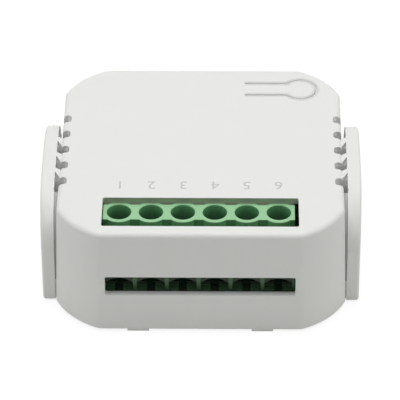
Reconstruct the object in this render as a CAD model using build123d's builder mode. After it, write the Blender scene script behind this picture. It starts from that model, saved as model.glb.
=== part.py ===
from build123d import *
import math
import os

# Smart relay module for a wall box: a drafted plastic case with two side ears,
# a press tongue cut into its lid, a row of screw terminals and the electronics inside.
# X runs along the terminal row, Y towards the back, Z up. The origin is the centre of the base.
# All sizes are in millimetres.

# Case
case_width = 46.2
case_depth = 46.2
case_height = 18.4
case_draft = 0.6
corner_bow_radius = 13.2
corner_bow_setback = 12.2
corner_blend_radius = 2.4
side_wall = 1.1
lid_wall = 1.1
lid_edge_radius = 0.8
rim_edge_radius = 0.25
overrun = 1.0

# Standing nibs on the rim
foot_height = 0.4
foot_width = 3.4
foot_depth = 0.8
foot_spread = 19.6
foot_inset = 0.15

# Side ears
ear_length = 28.0
ear_middle = -1.5
ear_thickness = 2.0
ear_bow = 0.22
ear_gap = 0.1
ear_drop = 0.3
ear_corner_radius = 8.5
ear_edge_radius = 0.45
ear_bridge_height = 3.9

# Cooling slots and the small webs between them
vent_count = 5
vent_pitch = 4.2
vent_middle = -0.2
vent_width = 1.85
vent_reach = 1.3
vent_depth = 8.0
vent_end_radius = 0.6
web_count = 3
web_root_width = 1.7
web_tip_width = 0.8
web_drop = 0.7
web_height = 6.5

# Terminal row
way_count = 6
way_pitch = 5.0
block_shift = -0.25
block_front_gap = 0.4
block_depth = 9.9
tower_drop = 1.1
tower_height = 4.2
screw_line_setback = 5.9
ring_radius = 2.6
neck_width = 3.8
driver_hole_radius = 1.93
driver_hole_share = 0.446
head_bore_radius = 2.2
chamber_width = 4.2
chamber_depth = 5.3
chamber_height = 5.9
pocket_width = 4.4
pocket_depth = 1.2
pocket_floor = 1.75
pocket_rise = 2.25
pocket_arch_radius = 3.0
ledge_height = 0.7
ledge_slot_width = 1.3

# Lid window and wire window in the case
lid_window_side_gap = 0.35
lid_window_depth = 7.3
lid_window_setback = 2.2
wire_window_side_lap = 0.1
wire_window_height = 3.5
wire_window_floor = 6.7
window_corner_radius = 0.3

# Screws, clamp plates and cages of the terminals
screw_radius = 1.25
screw_head_radius = 1.75
screw_head_height = 1.2
screw_slot_width = 0.6
screw_slot_depth = 0.6
screw_tip_gap = 0.1
screw_head_clearance = 0.3
thread_fit = 0.05
cage_width = 3.9
cage_depth = 5.0
cage_side_wall = 0.5
cage_floor_wall = 0.7
cage_nut_wall = 1.15
cage_height = 5.35
cage_lift = 0.2
clamp_width = 2.7
clamp_depth = 4.4
clamp_thickness = 0.5
clamp_lip = 0.5
clamp_gap = 0.15

# Circuit board
board_lift = 3.2
board_thickness = 1.6
board_gap = 0.7
board_corner_radius = 8.2
pin_radius = 0.4
pin_fit = 0.12
pin_tail = 1.2

# Bottom cover
cover_thickness = 1.5
cover_fit = 0.15
snap_width = 5.0
snap_height = 0.7
snap_reach = 0.35
snap_fit = 0.12
snap_spread = 22.0
post_radius = 1.4
post_inset_x = 1.9
post_inset_y = 12.5
pry_width = 4.0
pry_depth = 0.9
rib_width = 1.2
rib_depth = 1.6
rib_offset = 12.5

# Press tongue in the lid
key_stem_width = 3.28
key_head_radius = 2.67
key_reach = 9.05
key_inset_x = 6.5
key_inset_y = 5.7
key_groove = 0.4
key_stem_thickness = 0.8
key_blend_radius = 1.2
key_peg_radius = 1.1
key_peg_tip_radius = 0.9
key_peg_gap = 0.15

# Push switch under the tongue
switch_width = 4.5
switch_height = 3.2
switch_chamfer = 0.3
plunger_radius = 1.3
plunger_rise = 1.8
plunger_depth = 1.2
plunger_fit = 0.08
plunger_travel = 0.35

# Relay
relay_width = 10.2
relay_length = 18.4
relay_head_gap = 0.5
relay_wall = 0.6
relay_fit = 0.06
relay_edge_gap = 2.8
relay_headroom = 0.5
relay_base_thickness = 1.2
coil_gap = 0.2
bobbin_radius = 3.8
bobbin_flange = 0.6
bobbin_tube_radius = 1.75
winding_radius = 3.5
core_radius = 1.3
core_fit = 0.05
pole_radius = 2.3
pole_thickness = 0.5
yoke_thickness = 0.8
yoke_width = 6.2
yoke_lift = 0.1
yoke_back_gap = 0.2
armature_gap = 0.15
armature_thickness = 0.8
armature_width = 6.4
armature_overhang = 1.9
pole_gap = 0.45
blade_thickness = 0.25
blade_width = 3.2
blade_overlap = 5.6
blade_end_gap = 1.1
contact_radius = 1.1
contact_height = 0.7
contact_setback = 0.8
contact_gap = 0.9
fixed_contact_height = 0.35
fixed_strip_width = 3.0
fixed_strip_thickness = 0.6
rivet_radius = 0.5
rivet_height = 0.2
coil_pin_spread = 7.5
coil_pin_setback = 1.2
coil_pin_height = 1.0

# Other parts on the board
part_gap = 1.0
back_edge_gap = 1.6
capacitor_start_gap = 0.6
capacitor_end_gap = 2.04
capacitor_head_gap = 1.2
capacitor_groove = 0.35
capacitor_groove_height = 1.4
capacitor_edge_radius = 0.4
capacitor_lead_spread = 3.5
inductor_radius = 3.6
inductor_height = 9.0
inductor_flange = 1.2
inductor_waist_radius = 1.6
inductor_winding_radius = 3.1
varistor_radius = 3.6
varistor_thickness = 3.0
varistor_lift = 1.2
varistor_edge_radius = 0.8
varistor_lead_spread = 5.0
fuse_radius = 1.4
fuse_length = 6.4
fuse_waist_radius = 1.2
fuse_cap_length = 1.2
fuse_lead_length = 1.6
rectifier_width = 6.4
rectifier_depth = 5.0
rectifier_height = 2.4
rectifier_leg_width = 1.0
rectifier_leg_length = 1.0
rectifier_leg_thickness = 0.3
radio_side_gap = 1.48
castellation_pitch = 2.2
castellation_count = 5
radio_back_gap = 6.82
radio_thickness = 0.8
radio_edge_gap = 1.8
shield_side_margin = 1.2
shield_front_margin = 1.0
shield_back_margin = 5.4
shield_height = 2.2
shield_wall = 0.25
shield_corner_radius = 0.6
led_width = 1.6
led_depth = 0.9
led_height = 0.8
led_lens_radius = 0.35
chip_height = 1.1
chip_width = 1.6
chip_depth = 0.9
driver_chip_width = 3.9
driver_chip_depth = 4.9
driver_chip_height = 1.5
chip_row_gap = 1.3
chip_row_count = 5

# Derived levels and places
rim_z = foot_height
lid_z = rim_z + case_height
lid_under = lid_z - lid_wall
draft_angle = math.degrees(math.atan(case_draft / case_height))
board_under = rim_z + board_lift
board_top = board_under + board_thickness
pin_end = board_under - pin_tail
case_half = case_width / 2
lid_half = case_half - case_draft
lid_front = case_draft - case_depth / 2
key_head_x = lid_half - key_inset_x
key_root = key_head_x - key_reach
key_line = case_depth / 2 - case_draft - key_inset_y


def wall_half(size, level):
    """Outer half size of the drafted case at a level above the base."""
    return size / 2 - case_draft * (level - rim_z) / case_height


board_width = 2 * (wall_half(case_width, board_top) - side_wall) - board_gap
board_depth = 2 * (wall_half(case_depth, board_top) - side_wall) - board_gap
board_half_x = board_width / 2
board_half_y = board_depth / 2

tower_top = lid_z - tower_drop
tower_floor = tower_top - tower_height
block_width = way_count * way_pitch
lid_window_width = block_width + 2 * lid_window_side_gap
wire_window_width = block_width - 2 * wire_window_side_lap

# The block stands close behind the front wall
block_front = side_wall + block_front_gap - wall_half(case_depth, tower_floor)
block_back = block_front + block_depth
screw_y = block_front + screw_line_setback
way_places = [block_shift + (way - (way_count - 1) / 2) * way_pitch for way in range(way_count)]
cage_floor = board_top + cage_lift
cage_top = cage_floor + cage_height
nut_under = cage_top - cage_nut_wall
clamp_top = nut_under - clamp_gap
screw_tip = clamp_top + screw_tip_gap
driver_hole_depth = driver_hole_share * (tower_top - cage_top)
bore_top = tower_top - driver_hole_depth
head_under = bore_top - screw_head_clearance - screw_head_height
chamber_top = board_top + chamber_height
pocket_low = board_top + pocket_floor
pocket_high = pocket_low + pocket_rise

relay_x = relay_edge_gap + relay_width / 2 - board_half_x
relay_y = block_back + part_gap + relay_length / 2
relay_top = lid_under - relay_head_gap
relay_base_top = board_top + relay_base_thickness
relay_inner_back = relay_y + relay_length / 2 - relay_wall
relay_inner_front = relay_y - relay_length / 2 + relay_wall
yoke_floor = relay_base_top + yoke_lift
bobbin_floor = yoke_floor + yoke_thickness
yoke_back = relay_inner_back - yoke_back_gap
coil_y = yoke_back - yoke_thickness - coil_gap - bobbin_radius
armature_top = relay_top - relay_wall - relay_headroom - rivet_height - blade_thickness
armature_under = armature_top - armature_thickness
pole_top = armature_under - pole_gap
bobbin_top = pole_top - pole_thickness
yoke_top = armature_under - armature_gap
armature_front = coil_y - pole_radius - armature_overhang
blade_back = armature_front + blade_overlap
blade_front = relay_inner_front + blade_end_gap
contact_y = blade_front + contact_setback
fixed_top = armature_top - contact_height - contact_gap
fixed_post_y = contact_y - contact_radius - fixed_strip_thickness / 2

inductor_x = relay_x + relay_width / 2 + part_gap + inductor_radius
lamp_x = key_head_x - switch_width / 2 - part_gap - led_width / 2
capacitor_start = relay_x + relay_width / 2 + capacitor_start_gap
capacitor_end = lamp_x - led_width / 2 - capacitor_end_gap
capacitor_radius = (capacitor_end - capacitor_start - part_gap) / 4
capacitor_top = lid_under - capacitor_head_gap
capacitor_y = board_half_y - back_edge_gap - capacitor_radius
capacitor_places = [capacitor_start + capacitor_radius, capacitor_end - capacitor_radius]

# The rectifier, fuse and choke share the free depth between the terminals and the capacitors
supply_back = capacitor_y - capacitor_radius
supply_depth = rectifier_depth + 2 * fuse_radius + 2 * inductor_radius
supply_gap = (supply_back - block_back - supply_depth) / 4
rectifier_y = block_back + supply_gap + rectifier_depth / 2
fuse_y = rectifier_y + rectifier_depth / 2 + supply_gap + fuse_radius
inductor_y = fuse_y + fuse_radius + supply_gap + inductor_radius
varistor_y = relay_y + relay_length / 2 + part_gap + varistor_thickness / 2

driver_chip_x = inductor_x + inductor_radius + part_gap + driver_chip_width / 2
radio_left = driver_chip_x + driver_chip_width / 2 + radio_side_gap
radio_right = board_half_x - radio_edge_gap
radio_front = block_back + part_gap
radio_back = key_line - switch_width / 2 - radio_back_gap
radio_x = (radio_left + radio_right) / 2
radio_y = (radio_front + radio_back) / 2
radio_width = radio_right - radio_left
radio_depth = radio_back - radio_front
driver_chip_y = radio_back - driver_chip_depth

switch_top = board_top + switch_height
plunger_top = switch_top + plunger_rise
key_peg_end = plunger_top + key_peg_gap


def pin_pair(x, y, spread, along_x=True):
    """Places of two leads either side of a part's middle."""
    if along_x:
        return [(x - spread / 2, y), (x + spread / 2, y)]
    return [(x, y - spread / 2), (x, y + spread / 2)]


cage_pin_y = screw_y + cage_depth / 2 - pin_radius
cage_pins = [(x, cage_pin_y) for x in way_places]
coil_pins = pin_pair(relay_x, yoke_back - coil_pin_setback, coil_pin_spread)
yoke_pin = (relay_x, coil_y)
fixed_pin = (relay_x, fixed_post_y)
capacitor_pins = [pin_pair(x, capacitor_y, capacitor_lead_spread) for x in capacitor_places]
inductor_pins = pin_pair(inductor_x, inductor_y, inductor_radius)
varistor_pins = pin_pair(relay_x, varistor_y, varistor_lead_spread)
fuse_pins = pin_pair(inductor_x, fuse_y, fuse_length + fuse_lead_length)
lead_places = (
    cage_pins + coil_pins + [yoke_pin, fixed_pin] + capacitor_pins[0] + capacitor_pins[1]
    + inductor_pins + varistor_pins + fuse_pins
)


def save(piece, name):
    """Label a finished piece and write its STEP file."""
    piece.part.label = name
    export_step(piece.part, f"parts/{name}.step")


def upright(radius, bottom, top, mode=Mode.ADD):
    """Round bar along Z between two levels, at the current location's X and Y."""
    with Locations((0, 0, bottom)):
        Cylinder(radius, top - bottom, align=(Align.CENTER, Align.CENTER, Align.MIN), mode=mode)


def block(width, depth, bottom, top, mode=Mode.ADD):
    """Box between two levels, centred on the current location's X and Y."""
    with Locations((0, 0, bottom)):
        Box(width, depth, top - bottom, align=(Align.CENTER, Align.CENTER, Align.MIN), mode=mode)


def leads(places, top):
    """Round leads from a level down through the board."""
    for place in places:
        with Locations(place):
            upright(pin_radius, pin_end, top)


def case_outline(inset):
    """Flat outline of the case, drawn inwards by an inset: straight sides and bowed, cut-off corners."""
    half_x = case_width / 2 - inset
    half_y = case_depth / 2 - inset
    bow = corner_bow_radius - inset
    middle_x = case_width / 2 - corner_bow_setback
    middle_y = case_depth / 2 - corner_bow_setback
    reach_x = middle_x + math.sqrt(bow ** 2 - (half_y - middle_y) ** 2)
    reach_y = middle_y + math.sqrt(bow ** 2 - (half_x - middle_x) ** 2)
    tip = bow * math.sqrt(1 / 2)
    with BuildLine() as trace:
        for side_x, side_y in ((1, 1), (-1, 1), (-1, -1), (1, -1)):
            ThreePointArc(
                (side_x * half_x, side_y * reach_y),
                (side_x * (middle_x + tip), side_y * (middle_y + tip)),
                (side_x * reach_x, side_y * half_y),
            )
        for side in (-1, 1):
            Line((-reach_x, side * half_y), (reach_x, side * half_y))
            Line((side * half_x, -reach_y), (side * half_x, reach_y))
    make_face(trace.edges())


def key_outline(growth):
    """Flat outline of the tongue, grown or shrunk by half the groove."""
    stem_half = key_stem_width / 2 + growth
    head = key_head_radius + growth
    with Locations((key_root, key_line)):
        Rectangle(key_head_x - key_root, 2 * stem_half, align=(Align.MIN, Align.CENTER))
    with Locations((key_head_x, key_line)):
        Circle(head)


def key_blends(sketch):
    """Corners where the tongue's stem runs into its round head."""
    return [v for v in sketch.vertices() if key_root + key_groove < v.X < key_head_x]


# Side ear, drawn for the right side
def make_ear():
    inner = case_half + ear_gap
    front = ear_middle - ear_length / 2
    back = ear_middle + ear_length / 2
    height = case_height - ear_drop
    with BuildPart() as ear:
        with BuildSketch(Plane.XY.offset(rim_z)):
            with BuildLine():
                Polyline(
                    (inner + ear_thickness, back),
                    (inner, back),
                    (inner, front),
                    (inner + ear_thickness, front),
                )
                ThreePointArc(
                    (inner + ear_thickness, front),
                    (inner + ear_thickness + ear_bow, ear_middle),
                    (inner + ear_thickness, back),
                )
            make_face()
        extrude(amount=height)
        with BuildSketch(Plane.YZ.offset(inner)) as side:
            with Locations((ear_middle, rim_z + height / 2)):
                Rectangle(ear_length, height)
            fillet(side.vertices().group_by(Axis.Y)[-1], ear_corner_radius)
        extrude(amount=ear_thickness + ear_bow + overrun, mode=Mode.INTERSECT)
        fillet(ear.faces().sort_by(Axis.X)[-1].edges(), ear_edge_radius)
        # Foot of the ear, run into the case wall
        with Locations((case_half - side_wall / 2, ear_middle, rim_z)):
            Box(
                side_wall / 2 + ear_gap + ear_thickness / 2,
                ear_length - 2 * ear_edge_radius,
                ear_bridge_height,
                align=(Align.MIN, Align.CENTER, Align.MIN),
            )
        # Small tapered webs in line with the bars between the cooling slots
        for web in range(web_count):
            web_y = vent_middle + (web_count / 2 - web - 1) * vent_pitch
            wall_x = wall_half(case_width, lid_z - web_drop) - side_wall / 2
            with BuildSketch(Plane.XY.offset(lid_z - web_drop)):
                with BuildLine():
                    Polyline(
                        (wall_x, web_y - web_root_width / 2),
                        (inner + ear_edge_radius, web_y - web_tip_width / 2),
                        (inner + ear_edge_radius, web_y + web_tip_width / 2),
                        (wall_x, web_y + web_root_width / 2),
                        close=True,
                    )
                make_face()
            extrude(amount=-web_height)
    return ear


# Case with its lid, ears, windows and cooling slots
def make_top_shell():
    ear = make_ear()
    with BuildPart() as shell:
        with BuildSketch(Plane.XY.offset(rim_z)) as outline:
            case_outline(0)
            fillet(outline.vertices(), corner_blend_radius)
        extrude(amount=case_height, taper=draft_angle)
        fillet(shell.faces().sort_by(Axis.Z)[-1].edges(), lid_edge_radius)
        fillet(shell.faces().sort_by(Axis.Z)[0].edges(), rim_edge_radius)
        with BuildSketch(Plane.XY.offset(rim_z)) as hollow:
            case_outline(side_wall)
            fillet(hollow.vertices(), corner_blend_radius - side_wall)
        extrude(amount=case_height - lid_wall, taper=draft_angle, mode=Mode.SUBTRACT)

        # Cooling slots over both side edges of the lid
        vent_inner = lid_half - vent_reach
        vent_outer = case_half + ear_gap / 2
        for side in (-1, 1):
            with BuildSketch(Plane.XY.offset(lid_z + overrun)) as vents:
                for vent in range(vent_count):
                    vent_y = vent_middle + (vent - (vent_count - 1) / 2) * vent_pitch
                    with Locations((side * (vent_inner + vent_outer) / 2, vent_y)):
                        Rectangle(vent_outer - vent_inner, vent_width)
                ends = vents.vertices().filter_by(lambda v: abs(v.X) < vent_inner + vent_end_radius)
                fillet(ends, vent_end_radius)
            extrude(amount=-(vent_depth + overrun), mode=Mode.SUBTRACT)

        # Lid window over the terminal screws
        with BuildSketch(Plane.XY.offset(lid_z + overrun)) as lid_window:
            with Locations((0, lid_front + lid_window_setback)):
                Rectangle(
                    lid_window_width, lid_window_depth, align=(Align.CENTER, Align.MIN)
                )
            fillet(lid_window.vertices(), window_corner_radius)
        extrude(amount=-(lid_wall + 2 * overrun), mode=Mode.SUBTRACT)

        # Wire window in the front wall
        with BuildSketch(Plane.XZ.offset(case_depth / 2 + overrun)) as wire_window:
            with Locations((0, rim_z + wire_window_floor)):
                Rectangle(
                    wire_window_width, wire_window_height, align=(Align.CENTER, Align.MIN)
                )
            fillet(wire_window.vertices(), window_corner_radius)
        extrude(amount=-(side_wall + 2 * overrun), mode=Mode.SUBTRACT)

        # Gap round the press tongue, which is a piece of its own
        with BuildSketch(Plane.XY.offset(lid_z + overrun)) as key_gap:
            key_outline(key_groove / 2)
            fillet(key_blends(key_gap), key_blend_radius)
        extrude(amount=-(lid_wall + 2 * overrun), mode=Mode.SUBTRACT)

        # Ears on both sides
        add(ear.part)
        mirror(ear.part, about=Plane.YZ)

        # Standing nibs on the front and rear rim
        nib_y = case_depth / 2 - foot_inset - foot_depth / 2
        with GridLocations(foot_spread, 2 * nib_y, 2, 2):
            block(foot_width, foot_depth, 0, rim_z + rim_edge_radius)

        # Ribs that hold the board down
        rib_reach = wall_half(case_width, lid_under) - side_wall
        for side in (-1, 1):
            for rib_y in (-rib_offset / 2, rib_offset):
                with Locations((side * (rib_reach - rib_depth / 2 + side_wall / 2), rib_y)):
                    block(rib_depth + side_wall / 2, rib_width, board_top, lid_under)

        # Pockets for the snaps of the bottom cover
        pocket_y = case_depth / 2 - side_wall
        with GridLocations(snap_spread, 2 * pocket_y, 2, 2):
            block(
                snap_width + 2 * snap_fit,
                2 * (snap_reach + snap_fit - cover_fit),
                rim_z + snap_height / 2 - snap_fit,
                rim_z + snap_height * 3 / 2 + snap_fit,
                mode=Mode.SUBTRACT,
            )
    save(shell, "top_shell")


# Bottom cover with snaps and board posts
def make_bottom_cover():
    inner_width = case_width - 2 * side_wall - 2 * cover_fit
    inner_depth = case_depth - 2 * side_wall - 2 * cover_fit
    with BuildPart() as cover:
        with BuildSketch(Plane.XY.offset(rim_z)) as outline:
            case_outline(side_wall + cover_fit)
            fillet(outline.vertices(), corner_blend_radius - side_wall - cover_fit)
        extrude(amount=cover_thickness, taper=draft_angle)
        snap_y = inner_depth / 2 - snap_reach / 2
        with GridLocations(snap_spread, 2 * snap_y, 2, 2):
            block(
                snap_width,
                2 * snap_reach,
                rim_z + snap_height / 2,
                rim_z + snap_height * 3 / 2,
            )
        post_x = board_half_x - post_inset_x
        with GridLocations(2 * post_x, post_inset_y, 2, 2):
            upright(post_radius, rim_z, board_under)
        # Notches that take a blade when the cover is levered out
        with GridLocations(inner_width, 0, 2, 1):
            block(2 * pry_depth, pry_width, rim_z - overrun, rim_z + cover_thickness / 2,
                  mode=Mode.SUBTRACT)
    save(cover, "bottom_cover")


# Press tongue with the peg that reaches the push switch
def make_reset_key():
    with BuildPart() as key:
        with BuildSketch(Plane.XY.offset(lid_z)) as outline:
            key_outline(-key_groove / 2)
            fillet(key_blends(outline), key_blend_radius)
        extrude(amount=-key_stem_thickness)
        with BuildSketch(Plane.XY.offset(lid_z - key_stem_thickness)):
            with Locations((key_head_x, key_line)):
                Circle(key_head_radius - key_groove / 2)
        extrude(amount=key_stem_thickness - lid_wall)
        with BuildSketch(Plane.XY.offset(lid_under)):
            with Locations((key_head_x, key_line)):
                Circle(key_peg_radius)
        with BuildSketch(Plane.XY.offset(key_peg_end)):
            with Locations((key_head_x, key_line)):
                Circle(key_peg_tip_radius)
        loft(ruled=True)
    save(key, "reset_key")


# Push switch body and its plunger
def make_switch():
    with BuildPart() as body:
        with Locations((key_head_x, key_line)):
            block(switch_width, switch_width, board_top, switch_top)
        fillet(body.edges().filter_by(Axis.Z), switch_chamfer)
        with Locations((key_head_x, key_line)):
            upright(
                plunger_radius + plunger_fit,
                switch_top - plunger_depth - plunger_travel - plunger_fit,
                switch_top + overrun,
                mode=Mode.SUBTRACT,
            )
    save(body, "switch_body")
    with BuildPart() as plunger:
        with Locations((key_head_x, key_line)):
            upright(plunger_radius, switch_top - plunger_depth, plunger_top)
        fillet(plunger.edges().sort_by(Axis.Z)[-1], switch_chamfer)
    save(plunger, "switch_plunger")


# Green terminal housing: scalloped tower above, wire pockets in front, chambers below
def make_terminal_block():
    block_middle = (block_front + block_back) / 2
    with BuildPart() as housing:
        with Locations((block_shift, block_middle)):
            block(block_width, block_depth, board_top, tower_floor)
        with BuildSketch(Plane.XY.offset(tower_floor)):
            with Locations(*[(x, screw_y) for x in way_places]):
                Circle(ring_radius)
            with Locations((block_shift, screw_y)):
                Rectangle(block_width, neck_width)
            with Locations((block_shift, screw_y)):
                Rectangle(block_width, 2 * ring_radius, mode=Mode.INTERSECT)
        extrude(amount=tower_height)
        for x in way_places:
            with Locations((x, screw_y)):
                upright(driver_hole_radius, bore_top, tower_top + overrun, mode=Mode.SUBTRACT)
                upright(head_bore_radius, chamber_top, bore_top, mode=Mode.SUBTRACT)
                block(
                    chamber_width, chamber_depth, board_top - overrun, chamber_top,
                    mode=Mode.SUBTRACT,
                )
            # Wire pocket with an arched top
            with BuildSketch(Plane.XZ.offset(-block_front)) as pocket:
                arch_drop = pocket_arch_radius - math.sqrt(
                    pocket_arch_radius ** 2 - (pocket_width / 2) ** 2
                )
                with BuildLine():
                    Polyline(
                        (x - pocket_width / 2, pocket_high - arch_drop),
                        (x - pocket_width / 2, pocket_low),
                        (x + pocket_width / 2, pocket_low),
                        (x + pocket_width / 2, pocket_high - arch_drop),
                    )
                    ThreePointArc(
                        (x + pocket_width / 2, pocket_high - arch_drop),
                        (x, pocket_high),
                        (x - pocket_width / 2, pocket_high - arch_drop),
                    )
                make_face()
            extrude(amount=-pocket_depth, mode=Mode.SUBTRACT)
            # Way through to the chamber, over two ledges with a slot between them
            throat_start = block_front + pocket_depth
            throat_end = screw_y
            with Locations((x, (throat_start + throat_end) / 2)):
                block(
                    cage_width - 2 * cage_side_wall,
                    throat_end - throat_start,
                    pocket_low + ledge_height,
                    pocket_high - arch_drop,
                    mode=Mode.SUBTRACT,
                )
                block(
                    ledge_slot_width,
                    throat_end - throat_start,
                    pocket_low,
                    pocket_low + ledge_height,
                    mode=Mode.SUBTRACT,
                )
    save(housing, "terminal_block")


# Metal cage with its threaded top and solder pin
def make_terminal_cage(number, x):
    with BuildPart() as cage:
        with Locations((x, screw_y)):
            block(cage_width, cage_depth, cage_floor, cage_top)
        fillet(cage.edges().filter_by(Axis.Y), cage_side_wall / 2)
        with Locations((x, screw_y)):
            block(
                cage_width - 2 * cage_side_wall,
                cage_depth + overrun,
                cage_floor + cage_floor_wall,
                nut_under,
                mode=Mode.SUBTRACT,
            )
            upright(
                screw_radius + thread_fit, nut_under - overrun, cage_top + overrun,
                mode=Mode.SUBTRACT,
            )
        leads([(x, cage_pin_y)], cage_floor + cage_floor_wall / 2)
    save(cage, f"terminal_cage_{number}")


# Plate under the screw that presses on the wire
def make_clamp_plate(number, x):
    with BuildPart() as plate:
        with BuildSketch(Plane.YZ.offset(x - clamp_width / 2)):
            with BuildLine():
                front = screw_y - clamp_depth / 2
                back = screw_y + clamp_depth / 2
                low = clamp_top - clamp_thickness
                Polyline(
                    (front, low - clamp_lip / 2),
                    (front + clamp_lip, low),
                    (back, low),
                    (back, clamp_top),
                    (front, clamp_top),
                    close=True,
                )
            make_face()
        extrude(amount=clamp_width)
    save(plate, f"clamp_plate_{number}")


# Terminal screw with a slotted and crossed head
def make_terminal_screw(number, x):
    head_top = head_under + screw_head_height
    with BuildPart() as screw:
        with Locations((x, screw_y)):
            upright(screw_radius, screw_tip, head_under)
            upright(screw_head_radius, head_under, head_top)
        fillet(screw.edges().sort_by(Axis.Z)[-1], screw_head_height / 4)
        with Locations((x, screw_y)):
            block(
                2 * screw_head_radius + overrun, screw_slot_width,
                head_top - screw_slot_depth, head_top + overrun, mode=Mode.SUBTRACT,
            )
            block(
                screw_slot_width, screw_radius * 2,
                head_top - screw_slot_depth, head_top + overrun, mode=Mode.SUBTRACT,
            )
    save(screw, f"terminal_screw_{number}")


# Main circuit board, drilled for every lead
def make_main_board():
    with BuildPart() as board:
        with BuildSketch(Plane.XY.offset(board_under)):
            RectangleRounded(board_width, board_depth, board_corner_radius)
            with Locations(*lead_places):
                Circle(pin_radius + pin_fit, mode=Mode.SUBTRACT)
        extrude(amount=board_thickness)
    save(board, "main_board")


# Relay housing: base plate and clear-walled cover
def make_relay_housing():
    inner_width = relay_width - 2 * relay_wall
    inner_length = relay_length - 2 * relay_wall
    with BuildPart() as base:
        with BuildSketch(Plane.XY.offset(board_top)):
            with Locations((relay_x, relay_y)):
                Rectangle(inner_width - 2 * relay_fit, inner_length - 2 * relay_fit)
            with Locations(*(coil_pins + [yoke_pin, fixed_pin])):
                Circle(pin_radius + pin_fit, mode=Mode.SUBTRACT)
        extrude(amount=relay_base_thickness)
    save(base, "relay_base")
    with BuildPart() as cover:
        with Locations((relay_x, relay_y)):
            block(relay_width, relay_length, board_top, relay_top)
        fillet(cover.edges().filter_by(Axis.Z), relay_wall)
        fillet(cover.faces().sort_by(Axis.Z)[-1].edges(), relay_wall / 2)
        with Locations((relay_x, relay_y)):
            block(
                inner_width, inner_length, board_top - overrun, relay_top - relay_wall,
                mode=Mode.SUBTRACT,
            )
    save(cover, "relay_cover")


# Relay coil: bobbin, winding, iron core and yoke
def make_relay_coil():
    with BuildPart() as bobbin:
        with Locations((relay_x, coil_y)):
            upright(bobbin_radius, bobbin_floor, bobbin_floor + bobbin_flange)
            upright(bobbin_tube_radius, bobbin_floor, bobbin_top)
            upright(bobbin_radius, bobbin_top - bobbin_flange, bobbin_top)
            upright(
                core_radius + core_fit, bobbin_floor - overrun, bobbin_top + overrun,
                mode=Mode.SUBTRACT,
            )
    save(bobbin, "relay_bobbin")
    with BuildPart() as winding:
        with Locations((relay_x, coil_y)):
            upright(winding_radius, bobbin_floor + bobbin_flange, bobbin_top - bobbin_flange)
            upright(
                bobbin_tube_radius, bobbin_floor, bobbin_top, mode=Mode.SUBTRACT,
            )
    save(winding, "relay_winding")
    with BuildPart() as core:
        with Locations((relay_x, coil_y)):
            upright(core_radius, bobbin_floor, bobbin_top)
            upright(pole_radius, bobbin_top, pole_top)
    save(core, "relay_core")
    with BuildPart() as yoke:
        with BuildSketch(Plane.YZ.offset(relay_x - yoke_width / 2)) as side:
            with BuildLine():
                front = coil_y - pole_radius
                Polyline(
                    (front, yoke_floor),
                    (yoke_back, yoke_floor),
                    (yoke_back, yoke_top),
                    (yoke_back - yoke_thickness, yoke_top),
                    (yoke_back - yoke_thickness, bobbin_floor),
                    (front, bobbin_floor),
                    close=True,
                )
            make_face()
            corner = side.vertices().sort_by(Axis.X)[-2:].sort_by(Axis.Y)[0]
            fillet(corner, yoke_thickness)
        extrude(amount=yoke_width)
        leads([yoke_pin], yoke_floor)
    save(yoke, "relay_yoke")
    with BuildPart() as pins:
        leads(coil_pins, relay_base_top + coil_pin_height)
    save(pins, "relay_coil_pins")


# Rocking armature with the contact blade, and the fixed contact below it
def make_relay_contacts():
    with BuildPart() as armature:
        with Locations((relay_x, yoke_back, armature_under)):
            Box(
                armature_width, yoke_back - armature_front, armature_thickness,
                align=(Align.CENTER, Align.MAX, Align.MIN),
            )
    save(armature, "relay_armature")
    rivet_places = pin_pair(relay_x, blade_back - blade_overlap / 3, armature_width / 4)
    with BuildPart() as blade:
        with Locations((relay_x, blade_back, armature_top)):
            Box(
                blade_width, blade_back - blade_front, blade_thickness,
                align=(Align.CENTER, Align.MAX, Align.MIN),
            )
        with Locations(*rivet_places):
            upright(rivet_radius, armature_top, armature_top + blade_thickness + rivet_height)
        with Locations((relay_x, contact_y)):
            upright(contact_radius, armature_top - contact_height, armature_top)
    save(blade, "relay_contact_blade")
    with BuildPart() as fixed:
        arm_top = fixed_top - fixed_contact_height
        with BuildSketch(Plane.YZ.offset(relay_x - fixed_strip_width / 2)):
            with BuildLine():
                outer = fixed_post_y - fixed_strip_thickness / 2
                inner = fixed_post_y + fixed_strip_thickness / 2
                Polyline(
                    (outer, relay_base_top),
                    (inner, relay_base_top),
                    (inner, arm_top - fixed_strip_thickness),
                    (contact_y + contact_radius, arm_top - fixed_strip_thickness),
                    (contact_y + contact_radius, arm_top),
                    (outer, arm_top),
                    close=True,
                )
            make_face()
        extrude(amount=fixed_strip_width)
        with Locations((relay_x, contact_y)):
            upright(contact_radius, arm_top, fixed_top)
        leads([fixed_pin], relay_base_top)
    save(fixed, "relay_fixed_contact")


# Reservoir capacitors of the supply
def make_capacitor(number, x, pins):
    with BuildPart() as can:
        with BuildSketch(Plane.XZ.offset(-capacitor_y)) as half:
            with BuildLine():
                groove_z = board_top + capacitor_groove_height
                Polyline(
                    (x, board_top),
                    (x + capacitor_radius, board_top),
                    (x + capacitor_radius, groove_z - capacitor_groove),
                    (x + capacitor_radius - capacitor_groove, groove_z),
                    (x + capacitor_radius, groove_z + capacitor_groove),
                    (x + capacitor_radius, capacitor_top),
                    (x, capacitor_top),
                    close=True,
                )
            make_face()
            shoulder = half.vertices().group_by(Axis.Y)[-1].sort_by(Axis.X)[-1]
            fillet(shoulder, capacitor_edge_radius)
        revolve(axis=Axis((x, capacitor_y, 0), (0, 0, 1)))
        leads(pins, board_top + capacitor_edge_radius)
    save(can, f"capacitor_{number}")


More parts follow.
